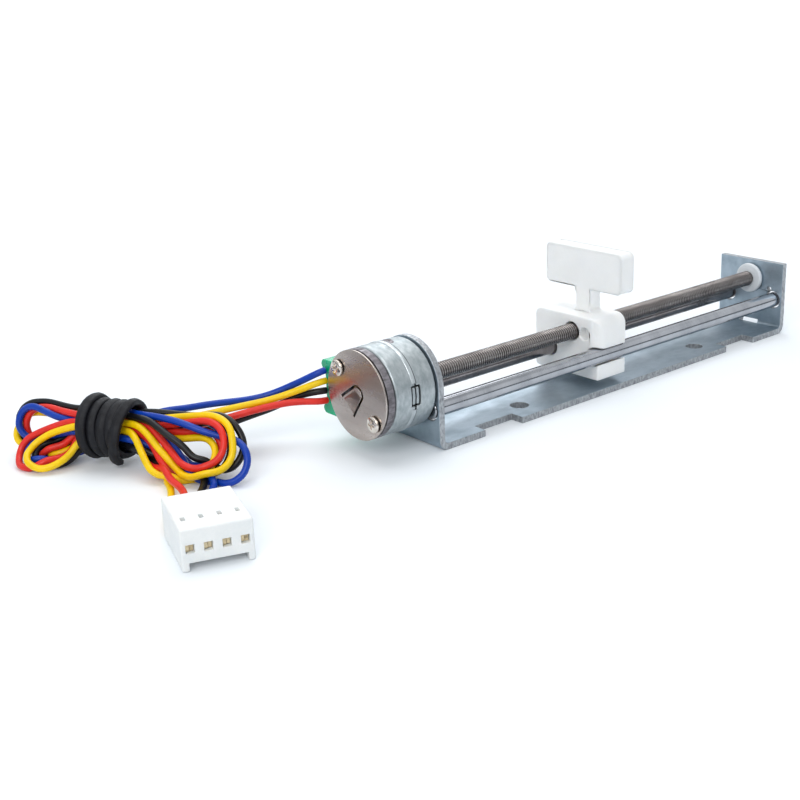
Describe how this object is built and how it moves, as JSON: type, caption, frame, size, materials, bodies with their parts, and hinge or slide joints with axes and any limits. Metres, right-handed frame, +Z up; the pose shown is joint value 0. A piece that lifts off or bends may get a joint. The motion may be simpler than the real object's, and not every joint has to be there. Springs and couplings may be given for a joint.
{
  "type": "stepper motor linear slide",
  "caption": "Miniature linear slide: can stepper motor turning a lead screw that moves a paddled slider along guide rods on a folded bracket, leads tied in a hank.",
  "frame": {"origin": "centre of the bracket's underside, midway between the two uprights", "axes": "+X along the lead screw from the motor to the far upright, +Y across towards the terminal block, +Z up from the base"},
  "size_m": [0.1479, 0.0622, 0.0255],
  "materials": {
    "zinc_sheet": "matt galvanised sheet",
    "zinc_can": "matt galvanised, fine mottling",
    "zinc_disc": "zinc plate with a rough sheared rim",
    "stainless": "bright rolled sheet",
    "screw_heads": "bright nickel plate",
    "rod_steel": "ground and polished",
    "screw_steel": "rolled thread, oily dark steel",
    "bush_plastic": "satin",
    "sintered_bronze": "porous, matt",
    "bobbin_plastic": "matt",
    "copper_wire": "enamelled",
    "brass_parts": "bright",
    "magnet": "matt",
    "green_plastic": "slightly translucent",
    "slider_plastic": "satin, slightly translucent",
    "lead_blue": "soft vinyl",
    "lead_yellow": "soft vinyl",
    "lead_black": "soft vinyl",
    "lead_red": "soft vinyl",
    "tie_rubber": "matt",
    "plug_plastic": "satin"
  },
  "bodies": {
    "frame": {"bracket": "zinc_sheet", "guide_rod_front": "rod_steel", "guide_rod_rear": "rod_steel", "far_bush": "bush_plastic", "front_bearing": "sintered_bronze", "rear_bearing": "sintered_bronze", "front_cup": "zinc_can", "rear_cup": "zinc_can", "front_yoke": "zinc_can", "rear_yoke": "zinc_can", "front_bobbin": "bobbin_plastic", "rear_bobbin": "bobbin_plastic", "front_coil": "copper_wire", "rear_coil": "copper_wire", "rear_disc": "zinc_disc", "rear_plate": "stainless", "rear_screw_upper": "screw_heads", "rear_screw_lower": "screw_heads", "terminal_block": "green_plastic", "terminal_pin_blue": "brass_parts", "terminal_pin_yellow": "brass_parts", "terminal_pin_black": "brass_parts", "terminal_pin_red": "brass_parts", "motor_lead_blue": "lead_blue", "motor_lead_yellow": "lead_yellow", "motor_lead_black": "lead_black", "motor_lead_red": "lead_red", "plug_lead_blue": "lead_blue", "plug_lead_yellow": "lead_yellow", "plug_lead_black": "lead_black", "plug_lead_red": "lead_red", "lead_hank": "lead_black", "hank_tie": "tie_rubber", "plug_housing": "plug_plastic", "plug_contact_1": "brass_parts", "plug_contact_2": "brass_parts", "plug_contact_3": "brass_parts", "plug_contact_4": "brass_parts"},
    "screw": {"lead_screw": "screw_steel", "rotor_hub": "brass_parts", "rotor_magnet": "magnet"},
    "slider": {"slider": "slider_plastic"}
  },
  "joints": [
    {"name": "slider_travel", "type": "slide", "parent": "frame", "child": "slider", "axis": [1, 0, 0], "range_m": [-0.0364, 0.045]},
    {"name": "screw_turn", "type": "hinge", "parent": "frame", "child": "screw", "pos_m": [0, 0, 0.0107], "axis": [1, 0, 0], "range_deg": [-32410, 26220]}
  ],
  "couplings": [
    {"joint": "screw_turn", "follows": "slider_travel", "rad_per_m": -12566}
  ]
}
